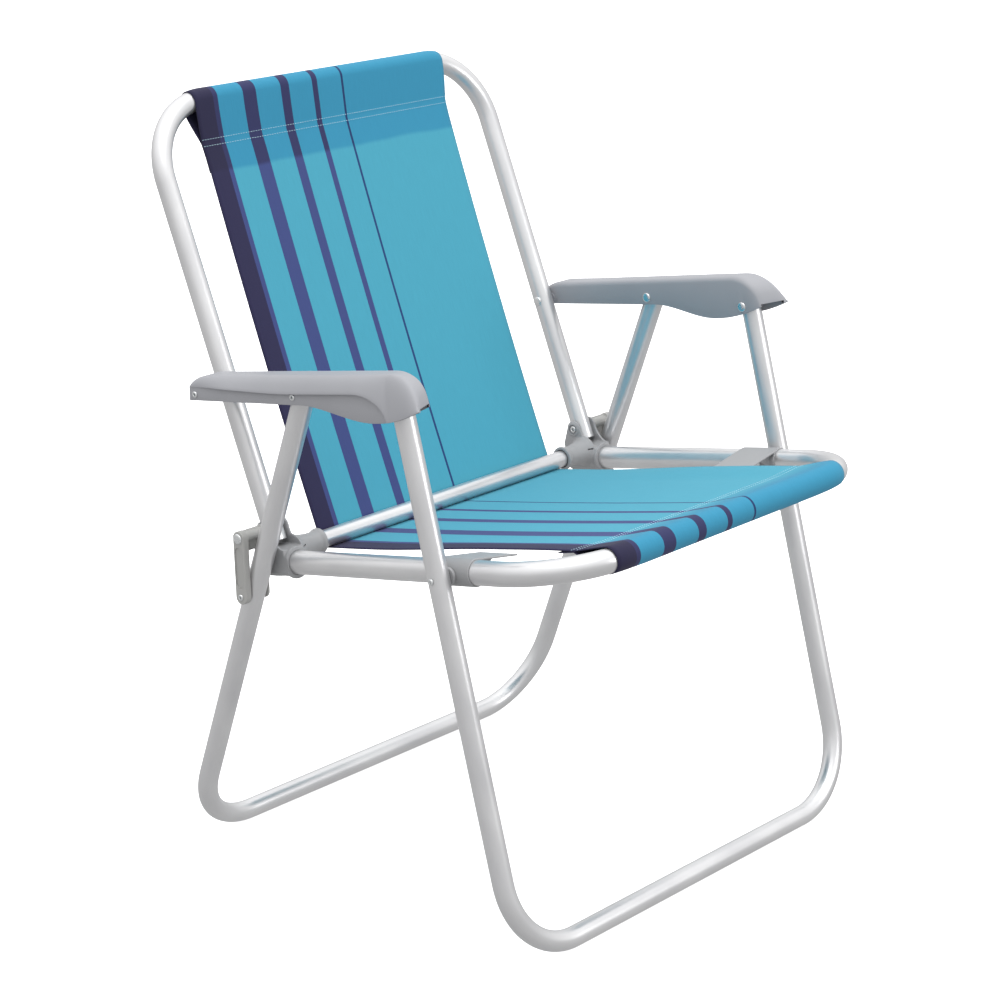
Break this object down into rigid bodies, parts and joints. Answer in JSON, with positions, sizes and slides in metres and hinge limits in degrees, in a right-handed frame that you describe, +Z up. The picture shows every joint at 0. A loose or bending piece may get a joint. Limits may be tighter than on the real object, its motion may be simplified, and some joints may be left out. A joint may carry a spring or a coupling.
{
  "type": "folding chair",
  "caption": "Folding lawn chair: bent aluminium tube frames, moulded grey arms and hinge parts, and a striped cloth sling. It folds flat about the hinge of its back.",
  "frame": {"origin": "on the floor, under the middle of the open chair's box", "axes": "+Z up, -Y to the front, where the sitter faces, +X to the sitter's left"},
  "size_m": [0.607, 0.606, 0.8144],
  "materials": {
    "aluminium_tube": "satin",
    "grey_plastic": "matte",
    "sling_cloth": "plain weave, striped",
    "fastener": "bright"
  },
  "bodies": {
    "back": {"back_frame": "aluminium_tube", "back_sling": "sling_cloth", "arm_back_rivet_left": "fastener", "arm_back_rivet_right": "fastener"},
    "seat": {"seat_frame": "aluminium_tube", "rear_crossbar": "aluminium_tube", "crossbar_screw_left": "fastener", "crossbar_screw_right": "fastener", "hinge_connector_left": "grey_plastic", "hinge_connector_right": "grey_plastic", "leg_saddle_left": "grey_plastic", "leg_saddle_right": "grey_plastic", "leg_bush_left": "grey_plastic", "leg_bush_right": "grey_plastic", "seat_sling": "sling_cloth", "leg_rivet_left": "fastener", "leg_rivet_right": "fastener", "hinge_rivet_left": "fastener", "hinge_rivet_right": "fastener"},
    "armrests": {"armrest_left": "grey_plastic", "armrest_right": "grey_plastic", "arm_front_rivet_left": "fastener", "arm_front_rivet_right": "fastener", "arm_rear_rivet_inner_left": "fastener", "arm_rear_rivet_inner_right": "fastener", "arm_rear_rivet_outer_left": "fastener", "arm_rear_rivet_outer_right": "fastener"},
    "front_legs": {"front_leg_frame": "aluminium_tube"},
    "links": {"link_yoke_left": "grey_plastic", "link_yoke_right": "grey_plastic", "link_rivet_left": "fastener", "link_rivet_right": "fastener"},
    "rear_legs": {"rear_leg_frame": "aluminium_tube"}
  },
  "joints": [
    {"name": "seat_hinge", "type": "hinge", "parent": "back", "child": "seat", "pos_m": [0, 0.11466, 0.382], "axis": [-1, 0, 0], "range_deg": [0, 95]},
    {"name": "arm_pivot", "type": "hinge", "parent": "back", "child": "armrests", "pos_m": [0, 0.17469, 0.52556], "axis": [-1, 0, 0], "range_deg": [0, 91.1]},
    {"name": "front_leg_pivot", "type": "hinge", "parent": "seat", "child": "front_legs", "pos_m": [0, -0.15051, 0.39457], "axis": [-1, 0, 0], "range_deg": [-88.57, 0]},
    {"name": "link_pivot", "type": "hinge", "parent": "seat", "child": "links", "pos_m": [0, 0.11466, 0.382], "axis": [-1, 0, 0], "range_deg": [0, 72.52]},
    {"name": "rear_leg_pivot", "type": "hinge", "parent": "links", "child": "rear_legs", "pos_m": [0, 0.11273, 0.31813], "axis": [-1, 0, 0], "range_deg": [-124.26, 0]}
  ],
  "couplings": [
    {"joint": "arm_pivot", "follows": "seat_hinge", "ratio": 0.95872},
    {"joint": "front_leg_pivot", "follows": "seat_hinge", "ratio": -0.93216},
    {"joint": "link_pivot", "follows": "seat_hinge", "ratio": 0.76316},
    {"joint": "rear_leg_pivot", "follows": "seat_hinge", "ratio": -1.3078}
  ]
}
